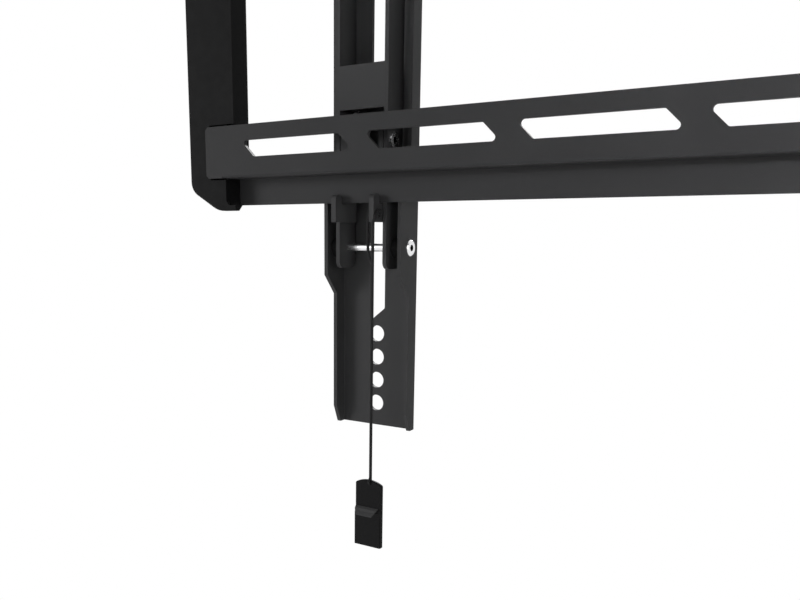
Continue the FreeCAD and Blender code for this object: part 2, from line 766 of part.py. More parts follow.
def ring(name, outer, inner, length):
    """A tube along X from Part primitives, starting at its own origin."""
    wall = doc.addObject("Part::Cylinder", f"{name}_outside")
    bore = doc.addObject("Part::Cylinder", f"{name}_bore")
    for cylinder, radius in ((wall, outer), (bore, inner)):
        cylinder.setExpression("Radius", bound(radius))
        cylinder.setExpression("Height", bound(length))
    tube = doc.addObject("Part::Cut", name)
    tube.Base = wall
    tube.Tool = bore
    return tube


def pieces_group(label, members):
    """Several separate solids of one kind as one piece."""
    group = doc.addObject("Part::Compound", label)
    group.Label = label
    group.Links = members
    bodies.append(group)
    return group


def set_along_x(piece, start, deep, high):
    """Lays a piece that was made along Z on a line along X."""
    piece.Placement = FreeCAD.Placement(Vector(0, 0, 0), FreeCAD.Rotation(Vector(0, 1, 0), 90))
    piece.setExpression("Placement.Base.x", bound(start))
    piece.setExpression("Placement.Base.y", bound(deep))
    piece.setExpression("Placement.Base.z", bound(high))


def make_tilt_bushes(label, place):
    """The two friction bushes on the hinge pin, between the channel and the arm's ears."""
    near_side = "(channel_width / 2 + fit_gap)"
    length = "((arm_width - channel_width) / 2 - arm_sheet - 2 * fit_gap)"
    members = []
    for name, start in (
        ("right_bush", f"{place} + {near_side}"),
        ("left_bush", f"{place} - {near_side} - {length}"),
    ):
        bush = ring(f"{label}_{name}", "bush_diameter / 2", PIN_HOLE_RADIUS, length)
        set_along_x(bush, start, HINGE_Y, HINGE_Z)
        members.append(bush)
    return pieces_group(label, members)


def rivet(name, parts):
    """A riveted pin along X as a fusion of cylinders, each a start, a length and a radius."""
    cylinders = []
    for step, (start, length, radius, deep, high) in enumerate(parts):
        cylinder = doc.addObject("Part::Cylinder", f"{name}_{step}")
        cylinder.setExpression("Radius", bound(radius))
        cylinder.setExpression("Height", bound(length))
        set_along_x(cylinder, start, deep, high)
        cylinders.append(cylinder)
    fusion = doc.addObject("Part::MultiFuse", name)
    fusion.Shapes = cylinders
    fusion.Refine = True
    return fusion


def make_tilt_stops(label, place):
    """Two stop pins, set in the channel, that reach through slots in the arm's ears."""
    inner = "(channel_width / 2 - channel_sheet + fit_gap)"
    seat = "(arm_width / 2 + stop_slot_gap)"
    members = []
    for side, sign in (("right", 1), ("left", -1)):
        shaft = f"({seat} + fit_gap - {inner})"
        shaft_start = f"{place} + {inner}" if sign > 0 else f"{place} - {inner} - {shaft}"
        head_start = f"{place} + {seat}" if sign > 0 else f"{place} - {seat} - head_height"
        members.append(rivet(f"{label}_{side}", [
            (shaft_start, shaft, PIN_RADIUS, STOP_Y, STOP_Z),
            (head_start, "head_height", "stop_head_diameter / 2", STOP_Y, STOP_Z),
        ]))
    return pieces_group(label, members)


def make_latch_rivets(label, place):
    """Four short rivets in the channel's flanges that guide the latch: flush left, headed right."""
    outer = "(channel_width / 2)"
    inner = f"({LATCH_HALF} - latch_sheet - latch_play)"
    shaft = f"({outer} - {inner})"
    lip = f"{PIN_RADIUS} + guide_inner_lip"
    members = []
    for level, high in (("low", GUIDE_LOW_Z), ("high", GUIDE_HIGH_Z)):
        members.append(rivet(f"{label}_left_{level}", [
            (f"{place} - {outer}", shaft, PIN_RADIUS, GUIDE_Y, high),
            (f"{place} - {inner}", "guide_inner_height", lip, GUIDE_Y, high),
        ]))
        headed = rivet(f"{label}_right_{level}_full", [
            (f"{place} + {inner}", shaft, PIN_RADIUS, GUIDE_Y, high),
            (f"{place} + {inner} - guide_inner_height", "guide_inner_height", lip, GUIDE_Y, high),
            (f"{place} + {outer}", "head_height", "guide_head_diameter / 2", GUIDE_Y, high),
        ])
        hollow = doc.addObject("Part::Cylinder", f"{label}_right_{level}_hollow")
        hollow.setExpression("Radius", bound("head_hollow / 2"))
        hollow.setExpression("Height", bound("hollow_depth + head_height"))
        set_along_x(hollow, f"{place} + {outer} + head_height - hollow_depth", GUIDE_Y, high)
        hollowed = doc.addObject("Part::Cut", f"{label}_right_{level}")
        hollowed.Base = headed
        hollowed.Tool = hollow
        members.append(hollowed)
    return pieces_group(label, members)


def make_latch(label, place):
    """The sliding latch: two hooked side plates joined by a web, with a lug towards the wall."""
    body = new_body(label, place)
    inner = f"({LATCH_HALF} - latch_sheet)"
    neck_back = f"({LATCH_FRONT} + latch_neck_depth)"
    throat_floor = f"(-{BAND_EDGE} - latch_gap)"
    tip = f"(-{BAND_EDGE} + latch_tip)"
    foot_top = f"({LATCH_WEB_BOTTOM_Z} + latch_web_height + latch_foot_rise)"
    side = new_sketch(body, "YZ_Plane", f"{label}_side")
    draw_polygon(side, [
        (HOOK_FRONT, LATCH_BOTTOM_Z),
        (LATCH_BACK, LATCH_BOTTOM_Z),
        (LATCH_BACK, foot_top),
        (neck_back, foot_top),
        (neck_back, LATCH_TOP_Z),
        (LATCH_FRONT, LATCH_TOP_Z),
        (LATCH_FRONT, throat_floor),
        (HOOK_THROAT, throat_floor),
        (HOOK_THROAT, tip),
        (HOOK_FRONT, tip),
    ])
    pad(body, side, f"2 * {LATCH_HALF}", symmetric=True)
    inside = new_sketch(body, "XY_Plane", f"{label}_inside")
    draw_rectangle(inside, f"-{inner}", inner, "0", f"{LATCH_BACK} - latch_sheet")
    cut_through(body, inside)
    gaps = new_sketch(body, "XZ_Plane", f"{label}_web_gaps")
    for low, high in (
        (f"{LATCH_BOTTOM_Z} - latch_sheet", LATCH_WEB_BOTTOM_Z),
        (f"{LATCH_WEB_BOTTOM_Z} + latch_web_height", f"{LATCH_TOP_Z} + latch_sheet"),
    ):
        draw_rectangle(gaps, f"-{inner}", inner, low, high)
    cut_through(body, gaps)
    tongue = new_sketch(body, "XY_Plane", f"{label}_spring_tongue", LATCH_WEB_BOTTOM_Z)
    draw_rectangle(
        tongue, "-spring_shift - spring_tab_width / 2", "-spring_shift + spring_tab_width / 2",
        f"{SPRING_Y} - spring_diameter / 2", LATCH_BACK,
    )
    pad(body, tongue, "latch_sheet")
    cut_spring_hole(body, label, LATCH_WEB_BOTTOM_Z, "latch_sheet")
    lug = new_sketch(body, "XY_Plane", f"{label}_lug", f"{GUIDE_HIGH_Z} - lug_drop")
    draw_rectangle(
        lug, f"-{LATCH_HALF}", f"-{LATCH_HALF} + lug_width", LATCH_FRONT, f"{LATCH_FRONT} + latch_sheet"
    )
    pad(body, lug, "lug_height")
    plate_middle = f"({LATCH_HALF} - latch_sheet / 2)"
    round_edges(body, f"{label}_tip_corners", "0.9 * latch_sheet", lambda middle, direction: (
        along(direction, AXIS_X) and near(middle.z, tip) and near(abs(middle.x), plate_middle)
    ))
    slots = new_sketch(body, "YZ_Plane", f"{label}_guide_slots")
    for high in (GUIDE_LOW_Z, GUIDE_HIGH_Z):
        draw_rectangle(
            slots,
            f"{GUIDE_Y} - {GUIDE_SLOT_RADIUS}",
            f"{GUIDE_Y} + {GUIDE_SLOT_RADIUS}",
            f"{high} - {GUIDE_SLOT_RADIUS}",
            f"{high} + latch_travel + {GUIDE_SLOT_RADIUS}",
        )
    cut_through(body, slots)
    round_edges(body, f"{label}_guide_slot_ends", f"0.9 * {GUIDE_SLOT_RADIUS}", lambda middle, direction: (
        along(direction, AXIS_X)
        and near(abs(middle.y - number(GUIDE_Y)), GUIDE_SLOT_RADIUS)
        and near(abs(middle.x), plate_middle)
    ))
    hole = new_sketch(body, "YZ_Plane", f"{label}_cord_hole", CORD_X)
    hole_y = f"{HOOK_FRONT} + cord_hole_inset"
    draw_circle(hole, hole_y, f"{LATCH_BOTTOM_Z} + cord_hole_rise", "cord_hole_diameter / 2")
    cut_band(body, hole, "2 * latch_sheet")
    return body


def make_latch_spring(label, place):
    """The extension spring, as a tube of its outer size, that pulls the latch up."""
    low = f"({TONGUE_TOP_Z} + spring_end_gap)"
    high = f"({TIE_BOTTOM_Z} - spring_end_gap)"
    coil = ring(label, "spring_diameter / 2", "spring_diameter / 2 - spring_wall", f"{high} - {low}")
    coil.Label = label
    coil.setExpression("Placement.Base.x", bound(f"{place} - spring_shift"))
    coil.setExpression("Placement.Base.y", bound(SPRING_Y))
    coil.setExpression("Placement.Base.z", bound(low))
    bodies.append(coil)
    return coil


def make_pull_cord(label, place):
    """The release cord, which hangs straight down from the latch's right-hand hook."""
    cord = doc.addObject("Part::Cylinder", label)
    cord.Label = label
    cord.setExpression("Radius", bound("cord_diameter / 2"))
    cord.setExpression("Height", bound("cord_length"))
    cord.setExpression("Placement.Base.x", bound(f"{place} + {CORD_X}"))
    cord.setExpression("Placement.Base.y", bound(CORD_Y))
    cord.setExpression("Placement.Base.z", bound(CORD_END_Z))
    bodies.append(cord)
    return cord


def make_pull_tag(label, place):
    """The moulded tag on the cord's end: an arched top, a finger ridge and a thicker lower half."""
    body = new_body(label, place)
    centre = f"({CORD_X} - tag_shift)"
    left = f"({centre} - tag_width / 2)"
    right = f"({centre} + tag_width / 2)"
    bottom = f"({CORD_END_Z} - tag_height)"
    shoulder = f"({CORD_END_Z} - tag_arch)"
    face = new_sketch(body, "XZ_Plane", f"{label}_face", f"-{CORD_Y}")
    corners = ((right, shoulder), (right, bottom), (left, bottom), (left, shoulder))
    points = [Vector(number(across), number(up), 0) for across, up in corners]
    for step, (point, following) in enumerate(zip(points, points[1:])):
        face.addGeometry(Part.LineSegment(point, following), False)
        hold(face, "DistanceX", step, 1, corners[step][0])
        hold(face, "DistanceY", step, 1, corners[step][1])
        if step:
            face.addConstraint(Sketcher.Constraint("Coincident", step - 1, 2, step, 1))
    hold(face, "DistanceX", 2, 2, left)
    hold(face, "DistanceY", 2, 2, shoulder)
    crown = Vector(number(centre), number(CORD_END_Z), 0)
    arch = face.addGeometry(Part.Arc(points[0], crown, points[3]), False)
    face.addConstraint(Sketcher.Constraint("Coincident", arch, 1, 0, 1))
    face.addConstraint(Sketcher.Constraint("Coincident", arch, 2, 2, 2))
    arch_radius = "((tag_width / 2) ^ 2 + tag_arch ^ 2) / (2 * tag_arch)"
    radius = face.addConstraint(Sketcher.Constraint("Radius", arch, number(arch_radius)))
    face.setExpression(f"Constraints[{radius}]", bound(arch_radius))
    pad(body, face, "tag_thickness", symmetric=True)
    round_edges(body, f"{label}_corners", "tag_corner", lambda middle, direction: (
        along(direction, AXIS_Y) and near(middle.z, shoulder)
    ))
    cut_edges(body, f"{label}_upper_edge", "tag_edge", lambda middle, direction: (
        along(direction, AXIS_Z) and near(abs(middle.y - number(CORD_Y)), "tag_thickness / 2")
    ))
    tag_front = f"({CORD_Y} - tag_thickness / 2)"
    ridge_top = f"({CORD_END_Z} - tag_ridge_drop)"
    ridge_bottom = f"({ridge_top} - tag_ridge_height)"
    step_front = f"({tag_front} - tag_step_depth)"
    step = new_sketch(body, "YZ_Plane", f"{label}_step", centre)
    draw_polygon(step, [
        (CORD_Y, ridge_bottom),
        (tag_front, ridge_bottom),
        (step_front, f"{ridge_bottom} - tag_step_height"),
        (step_front, bottom),
        (CORD_Y, bottom),
    ])
    pad(body, step, "tag_width", symmetric=True)
    cut_edges(body, f"{label}_lower_edge", "tag_edge", lambda middle, direction: (
        along(direction, AXIS_Z) and near(middle.y, step_front)
    ))
    ridge_left = f"({left} + tag_edge)"
    ridge_right = f"({ridge_left} + tag_ridge_width)"
    ridge_height = "(tag_ridge_depth + tag_thickness / 2)"
    ridge = new_sketch(body, "XZ_Plane", f"{label}_ridge", f"-{CORD_Y}")
    draw_polygon(ridge, [
        (ridge_left, ridge_top),
        (ridge_left, ridge_bottom),
        (f"{ridge_right} - tag_ridge_slant", ridge_bottom),
        (ridge_right, ridge_top),
    ])
    pad(body, ridge, ridge_height)
    cut_edges(body, f"{label}_ridge_slope", "0.8 * tag_ridge_depth", lambda middle, direction: (
        along(direction, AXIS_X)
        and near(middle.y, f"{tag_front} - tag_ridge_depth")
        and near(middle.z, ridge_top)
    ))
    return body


def make_arm_set(side, place):
    """One arm with all that hangs on the rails with it."""
    make_tv_arm(f"{side}_tv_arm", place)
    make_tilt_pin(f"{side}_tilt_pin", place)
    make_tilt_bushes(f"{side}_tilt_bushes", place)
    make_hook_channel(f"{side}_hook_channel", place)
    make_tilt_stops(f"{side}_tilt_stops", place)
    make_latch(f"{side}_latch", place)
    make_latch_rivets(f"{side}_latch_rivets", place)
    make_latch_spring(f"{side}_latch_spring", place)
    make_pull_cord(f"{side}_pull_cord", place)
    make_pull_tag(f"{side}_pull_tag", place)


make_rail("bottom_rail")
turned_over(make_rail("top_rail"))
make_side_cover("left_side_cover")
make_cover_back("left_cover_back")
make_side_strut("left_side_strut")
turned_over(make_side_cover("right_side_cover"))
turned_over(make_cover_back("right_cover_back"))
turned_over(make_side_strut("right_side_strut"))
make_arm_set("left", "-arm_offset")
make_arm_set("right", "arm_offset")

doc.removeObject(working.Name)
doc.recompute()

for item in doc.Objects:
    if "Invalid" in item.State or "Error" in item.State:
        raise RuntimeError(f"{item.Name} failed: {item.State}")
for piece in bodies:
    if piece.Shape.isNull() or not piece.Shape.isValid() or not piece.Shape.Solids:
        raise RuntimeError(f"{piece.Label} has no sound shape")

os.makedirs("parts", exist_ok=True)
for piece in bodies:
    piece.Shape.exportStep(f"parts/{piece.Label}.step")
    print(f"{piece.Label}: {len(piece.Shape.Solids)} solid(s), {piece.Shape.Volume:.0f} mm3")
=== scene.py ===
import json
import math

import bmesh
import bpy
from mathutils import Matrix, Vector


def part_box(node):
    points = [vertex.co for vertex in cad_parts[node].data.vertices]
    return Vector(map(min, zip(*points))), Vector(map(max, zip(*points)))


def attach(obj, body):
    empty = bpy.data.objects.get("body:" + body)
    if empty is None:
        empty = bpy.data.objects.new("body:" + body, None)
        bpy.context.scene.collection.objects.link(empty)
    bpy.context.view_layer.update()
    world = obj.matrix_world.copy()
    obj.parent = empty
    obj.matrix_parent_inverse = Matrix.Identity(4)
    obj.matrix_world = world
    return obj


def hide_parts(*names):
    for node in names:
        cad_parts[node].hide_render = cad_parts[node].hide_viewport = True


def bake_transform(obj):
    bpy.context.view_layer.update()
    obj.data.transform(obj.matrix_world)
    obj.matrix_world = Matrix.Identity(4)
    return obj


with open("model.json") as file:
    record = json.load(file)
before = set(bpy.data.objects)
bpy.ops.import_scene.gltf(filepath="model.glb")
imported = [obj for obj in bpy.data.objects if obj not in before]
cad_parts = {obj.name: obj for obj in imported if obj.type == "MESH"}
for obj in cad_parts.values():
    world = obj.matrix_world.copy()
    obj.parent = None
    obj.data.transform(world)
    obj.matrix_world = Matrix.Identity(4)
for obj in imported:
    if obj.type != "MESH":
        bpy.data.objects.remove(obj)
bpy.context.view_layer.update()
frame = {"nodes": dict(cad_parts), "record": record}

nodes = frame["nodes"]
SIDES = ("left", "right")

# Colours in linear light
RAIL_GREY = (0.032, 0.032, 0.033)
ARM_GREY = (0.044, 0.044, 0.045)
COVER_GREY = (0.0067, 0.0067, 0.0069)
TAG_GREY = (0.0104, 0.0104, 0.0107)
# A lighter colour painted on the tag's ridge as a highlight
RIDGE_HIGHLIGHT_GREY = (0.05, 0.05, 0.051)
CORD_BLACK = (0.019, 0.019, 0.0195)
ZINC = (0.83, 0.83, 0.84)
SPRING_STEEL = (0.035, 0.035, 0.036)
# Painted shade in the hollows of riveted heads
HOLLOW_PAINTED_SHADE = (0.012, 0.012, 0.012)
WHITE = (1, 1, 1, 1)
FLOOR_WHITE = (0.9, 0.9, 0.9, 1)

# How much of the clear gloss each dull surface keeps
PAINT_SPECULAR = 0.06
PLASTIC_SPECULAR = 0.04
CORD_SPECULAR = 0.1

# The range of roughness over each surface
PAINT_ROUGHNESS = (0.46, 0.58)
PLASTIC_ROUGHNESS = (0.5, 0.62)
ZINC_ROUGHNESS = (0.19, 0.32)
SPRING_ROUGHNESS = (0.25, 0.38)
CORD_ROUGHNESS = 0.8

# The darkest and lightest shade of each colour, and the part of its pattern over which they blend
PAINT_SHADES = (0.94, 1.06)
PLASTIC_SHADES = (0.93, 1.07)
STEEL_SHADES = (0.9, 1)
CORD_SHADES = (0.6, 1.3)
CLOUD_EDGES = (0.3, 0.7)
BLOOM_EDGES = (0.35, 0.65)
RIB_EDGES = (0.1, 0.9)

# Grains to the metre
PAINT_CLOUDS = 22
PAINT_PEEL = 620
PAINT_GRAIN = 3800
PLASTIC_CLOUDS = 30
PLASTIC_GLOSS_CLOUDS = 240
COVER_GRAIN = 1500
TAG_GRAIN = 2200
STEEL_BLOOM = 180
STEEL_MARKS = 900
CORD_RIBS = 420

# Depths of relief in metres
PAINT_PEEL_DEPTH = 0.00003
PAINT_GRAIN_DEPTH = 0.000012
PLASTIC_GRAIN_DEPTH = 0.00003
STEEL_MARKS_DEPTH = 0.00001
CORD_RIBS_DEPTH = 0.00006

# The drawing marks run along the pin and the rivets, and along the spring
MARKS_ALONG_X = (0.05, 1, 1)
MARKS_ALONG_Z = (1, 1, 0.2)

# Painted shade in the hollow in the middle of a riveted head: a dark disc of this radius round its axis
HOLLOW_RADIUS = 0.00153

# The tag's ridge, painted lighter as a highlight, measured from the tag's top, with its slanted right end
RIDGE_DROP = 0.0139
RIDGE_HEIGHT = 0.005
RIDGE_SLANT = 0.8
RIDGE_END = 0.0014
TAG_BACK_TO_FACE = 0.0021

# The width of the broken edges of each kind of node. The coating breaks the sheet steel's edges,
# and the tool the moulded pieces'.
EDGE_BREAK = {
    "rail": 0.00025,
    "tv_arm": 0.00025,
    "hook_channel": 0.00025,
    "latch": 0.00025,
    "side_strut": 0.0002,
    "side_cover": 0.0004,
    "cover_back": 0.0003,
    "pull_tag": 0.0004,
    "tilt_pin": 0.00015,
    "tilt_stops": 0.0002,
    "latch_rivets": 0.00015,
    "tilt_bushes": 0.0003,
}
EDGE_SEGMENTS = 2
EDGE_ANGLE = math.radians(35)

# The cord's way, as millimetres right of its middle, towards the screen and above its upper end
CORD_TOP = [(1.45, -2, 0), (1.45, -2, -3), (0.9, -1.1, -11), (0.25, 0, -22)]
# Below that it hangs straight, with points at these shares of its length
CORD_LEAN = (0.25, 0)
CORD_SHARES = (0.35, 0.6, 0.8, 1)
CORD_STEPS = 24
CORD_SIDES = 12

# The loop's way, measured as the cord's is
LOOP_RADIUS = 0.0007
LOOP_STEPS = 10
LOOP_SIDES = 12
LOOP_WAY = [
    (1.45, -2, -0.5), (1.6, -1.8, 0.8), (2, -0.4, 2.6), (2, 0.7, 4.8), (2, 2.7, 5.7), (2, 4.9, 4.5),
    (1.9, 4.4, 2.9), (0.9, 3.7, 2.6), (-0.9, 3.7, 2.6), (-2.05, 3, 2.7), (-2.3, 1.2, 2.3), (-2.4, 0, 0.6),
    (-2.4, 0, -5), (-2.35, 0, -12), (-2.1, 0, -14.5), (-0.7, 0, -17.5), (0.3, 0, -20),
]

# The tie's way, from the cord's lower end: over the tag's edge, down its face and into it
TIE_RADIUS = 0.00055
TIE_STEPS = 8
TIE_SIDES = 10
TIE_WAY = [
    (0.25, 0, 1.6), (0.25, -0.7, 0.9), (0.25, -1.7, -0.2), (0.25, -1.75, -1), (0.25, -1.2, -1.8),
    (0.25, 0, -2.2),
]

# The spring's wire is a tube round a line of COIL_STEPS points to the turn
COIL_WIRE = 0.0004
COIL_TURNS = 30
COIL_STEPS = 20
COIL_SIDES = 8
# The coil widens from its axis over its first points and narrows back over its last ones
COIL_LEAD = 10
# The coil stops this far inside the solid's ends
COIL_CLEAR = 0.0005
HOOK_REACH = 0.0022
HOOK_CLEAR = 0.0001
HOOK_STEPS = 6
# From the solid spring's ends to the far faces of the tongue and the tab that it hooks into
TONGUE_REACH = 0.0028
TAB_REACH = 0.0023

# The photograph's viewpoint: metres, and degrees about the level axis and about the upright one
CAMERA_PLACE = (-0.01795, -0.31719, -0.11452)
CAMERA_PITCH = -11.50
CAMERA_YAW = 32.83
CAMERA_SENSOR = 36
CAMERA_LENS = 35.757
CAMERA_SHIFT = (0.0826, 0.1154)
CAMERA_NEAR = 0.01

# The studio
SKY_STRENGTH = 0.06
FLOOR_HEIGHT = -0.52
FLOOR_HALF_WIDTH = 4
FLOOR_ROUGHNESS = 0.9
LEFT_ARM_FOOT = (-0.2, 0, -0.05)
OPEN_LAMP = 180


# Materials

def link(tree, source, target):
    tree.links.new(source, target)


def node_tree(name):
    """A new material with an empty Principled shader, and its node tree."""
    material = bpy.data.materials.new(name)
    material.use_nodes = True
    tree = material.node_tree
    shader = tree.nodes["Principled BSDF"]
    return material, tree, shader


def coordinates(tree, stretch=(1, 1, 1)):
    """Object coordinates in metres, stretched along each axis."""
    place = tree.nodes.new("ShaderNodeTexCoord")
    mapping = tree.nodes.new("ShaderNodeMapping")
    mapping.inputs["Scale"].default_value = stretch
    link(tree, place.outputs["Object"], mapping.inputs["Vector"])
    return mapping.outputs["Vector"]


def noise(tree, vector, scale, detail=2.0, roughness=0.5):
    """A cloudy pattern from 0 to 1, with about so many grains to the metre."""
    texture = tree.nodes.new("ShaderNodeTexNoise")
    texture.inputs["Scale"].default_value = scale
    texture.inputs["Detail"].default_value = detail
    texture.inputs["Roughness"].default_value = roughness
    link(tree, vector, texture.inputs["Vector"])
    return texture.outputs["Fac"]


def tones(tree, factor, edges, colour, shades):
    """Two shades of a colour, blended where a factor lies between two edges."""
    blend = tree.nodes.new("ShaderNodeValToRGB")
    for element, edge, shade in zip(blend.color_ramp.elements, edges, shades):
        element.position = edge
        element.color = (*(channel * shade for channel in colour), 1)
    link(tree, factor, blend.inputs["Fac"])
    return blend.outputs["Color"]


def spread(tree, factor, limits):
    """Maps a factor from 0..1 onto a range of numbers."""
    span = tree.nodes.new("ShaderNodeMapRange")
    span.inputs["To Min"].default_value, span.inputs["To Max"].default_value = limits
    link(tree, factor, span.inputs["Value"])
    return span.outputs["Result"]


def bump(tree, height, distance, strength, normal=None):
    """Fine relief that only the light shows, laid over another relief where one is given."""
    relief = tree.nodes.new("ShaderNodeBump")
    relief.inputs["Distance"].default_value = distance
    relief.inputs["Strength"].default_value = strength
    link(tree, height, relief.inputs["Height"])
    if normal is not None:
        link(tree, normal, relief.inputs["Normal"])
    return relief.outputs["Normal"]


def combine(tree, operation, *values):
    """The result of a Math node, whose values are numbers or the sockets that they come from."""
    node = tree.nodes.new("ShaderNodeMath")
    node.operation = operation
    for socket, value in zip(node.inputs, values):
        if isinstance(value, bpy.types.NodeSocket):
            link(tree, value, socket)
        else:
            socket.default_value = value
    return node.outputs["Value"]


def recolour(tree, colour, mask, other):
    """Replaces a colour with another where a mask is 1."""
    mix = tree.nodes.new("ShaderNodeMixRGB")
    mix.inputs["Color2"].default_value = (*other, 1)
    link(tree, mask, mix.inputs["Fac"])
    link(tree, colour, mix.inputs["Color1"])
    return mix.outputs["Color"]


def powder_coat(name, colour):
    """Baked powder paint on sheet steel: a faint orange peel over fine grains."""
    material, tree, shader = node_tree(name)
    vector = coordinates(tree)
    clouds = noise(tree, vector, PAINT_CLOUDS)
    peel = noise(tree, vector, PAINT_PEEL, roughness=0.45)
    grain = noise(tree, vector, PAINT_GRAIN, roughness=0.6)
    tone = tones(tree, clouds, CLOUD_EDGES, colour, PAINT_SHADES)
    link(tree, tone, shader.inputs["Base Color"])
    link(tree, spread(tree, peel, PAINT_ROUGHNESS), shader.inputs["Roughness"])
    shader.inputs["Specular IOR Level"].default_value = PAINT_SPECULAR
    relief = bump(tree, peel, PAINT_PEEL_DEPTH, strength=0.5)
    relief = bump(tree, grain, PAINT_GRAIN_DEPTH, strength=0.5, normal=relief)
    link(tree, relief, shader.inputs["Normal"])
    return material


def within(tree, value, low, high):
    """1 where a number lies between two others, and 0 elsewhere."""
    above = combine(tree, "GREATER_THAN", value, low)
    below = combine(tree, "LESS_THAN", value, high)
    return combine(tree, "MULTIPLY", above, below)


def ridge_highlight_mask(tree):
    """1 on the tag's finger ridge, where a highlight is painted, and 0 on the rest of the tag."""
    low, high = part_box("left_pull_tag")
    place = tree.nodes.new("ShaderNodeTexCoord")
    split = tree.nodes.new("ShaderNodeSeparateXYZ")
    link(tree, place.outputs["Object"], split.inputs["Vector"])
    x, y, z = split.outputs
    ridge_top = high.z - RIDGE_DROP
    across = within(tree, z, ridge_top - RIDGE_HEIGHT, ridge_top)
    proud = within(tree, y, 0, high.y - TAG_BACK_TO_FACE)
    # The tags of both arms are measured from the left tag's place
    local_x = combine(tree, "WRAP", x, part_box("right_pull_tag")[0].x, low.x)
    slanted = combine(tree, "MULTIPLY_ADD", z, -RIDGE_SLANT, local_x)
    right_end = high.x - RIDGE_SLANT * ridge_top - RIDGE_END
    left_of_end = combine(tree, "LESS_THAN", slanted, right_end)
    return combine(tree, "MULTIPLY", combine(tree, "MULTIPLY", across, proud), left_of_end)


def moulded_plastic(name, colour, grain, mask=None):
    """Moulded plastic with the fine spark grain of its tool, and a painted highlight where a mask says.
    """
    material, tree, shader = node_tree(name)
    vector = coordinates(tree)
    cells = tree.nodes.new("ShaderNodeTexVoronoi")
    cells.inputs["Scale"].default_value = grain
    link(tree, vector, cells.inputs["Vector"])
    clouds = noise(tree, vector, PLASTIC_CLOUDS)
    tone = tones(tree, clouds, CLOUD_EDGES, colour, PLASTIC_SHADES)
    # Painted highlight: the colour is lightened where the mask is 1
    if mask:
        tone = recolour(tree, tone, mask(tree), RIDGE_HIGHLIGHT_GREY)
    link(tree, tone, shader.inputs["Base Color"])
    gloss = noise(tree, vector, PLASTIC_GLOSS_CLOUDS)
    link(tree, spread(tree, gloss, PLASTIC_ROUGHNESS), shader.inputs["Roughness"])
    shader.inputs["Specular IOR Level"].default_value = PLASTIC_SPECULAR
    relief = bump(tree, cells.outputs["Distance"], PLASTIC_GRAIN_DEPTH, strength=0.45)
    link(tree, relief, shader.inputs["Normal"])
    return material


def near_axis(tree, axis, radius):
    """1 within a radius of a line along X through a depth and a height, and 0 elsewhere."""
    place = tree.nodes.new("ShaderNodeTexCoord")
    flat = tree.nodes.new("ShaderNodeVectorMath")
    flat.operation = "MULTIPLY"
    flat.inputs[1].default_value = (0, 1, 1)
    reach = tree.nodes.new("ShaderNodeVectorMath")
    reach.operation = "DISTANCE"
    reach.inputs[1].default_value = (0, *axis)
    link(tree, place.outputs["Object"], flat.inputs[0])
    link(tree, flat.outputs["Vector"], reach.inputs[0])
    return combine(tree, "LESS_THAN", reach.outputs["Value"], radius)


def bright_steel(name, colour, roughness, stretch, shaded_hollow_axes=()):
    """Bare or plated steel with drawing marks, and painted shade in the hollows of riveted heads."""
    material, tree, shader = node_tree(name)
    marks = noise(tree, coordinates(tree, stretch), STEEL_MARKS, detail=3, roughness=0.6)
    bloom = noise(tree, coordinates(tree), STEEL_BLOOM)
    shader.inputs["Metallic"].default_value = 1.0
    tone = tones(tree, bloom, BLOOM_EDGES, colour, STEEL_SHADES)
    # Painted shade: a dark disc round each given axis, where a riveted head's hollow lies
    for axis in shaded_hollow_axes:
        tone = recolour(tree, tone, near_axis(tree, axis, HOLLOW_RADIUS), HOLLOW_PAINTED_SHADE)
    link(tree, tone, shader.inputs["Base Color"])
    link(tree, spread(tree, marks, roughness), shader.inputs["Roughness"])
    link(tree, bump(tree, marks, STEEL_MARKS_DEPTH, strength=0.35), shader.inputs["Normal"])
    return material


def braided_cord(name, colour):
    """Thin twisted cord: slanted ribs and a soft sheen."""
    material, tree, shader = node_tree(name)
    ribs = tree.nodes.new("ShaderNodeTexWave")
    ribs.wave_type = "BANDS"
    ribs.bands_direction = "DIAGONAL"
    ribs.inputs["Scale"].default_value = CORD_RIBS
    ribs.inputs["Distortion"].default_value = 1.5
    ribs.inputs["Detail Scale"].default_value = 2.0
    link(tree, coordinates(tree), ribs.inputs["Vector"])
    rib = ribs.outputs["Fac"]
    tone = tones(tree, rib, RIB_EDGES, colour, CORD_SHADES)
    link(tree, tone, shader.inputs["Base Color"])
    shader.inputs["Roughness"].default_value = CORD_ROUGHNESS
    shader.inputs["Specular IOR Level"].default_value = CORD_SPECULAR
    shader.inputs["Sheen Weight"].default_value = 0.03
    shader.inputs["Sheen Roughness"].default_value = 0.5
    link(tree, bump(tree, rib, CORD_RIBS_DEPTH, strength=0.8), shader.inputs["Normal"])
    return material


def middle(node, axis):
    """The middle of a node's box along one axis."""
    low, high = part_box(node)
    return (low[axis] + high[axis]) / 2


def rivet_axes():
    """The depth and height of the pin and of the two rows of guide rivets."""
    axes = [(middle("left_tilt_pin", 1), middle("left_tilt_pin", 2))]
    low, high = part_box("left_latch_rivets")
    head = (high.y - low.y) / 2
    depth = middle("left_latch_rivets", 1)
    axes.extend([(depth, low.z + head), (depth, high.z - head)])
    return axes


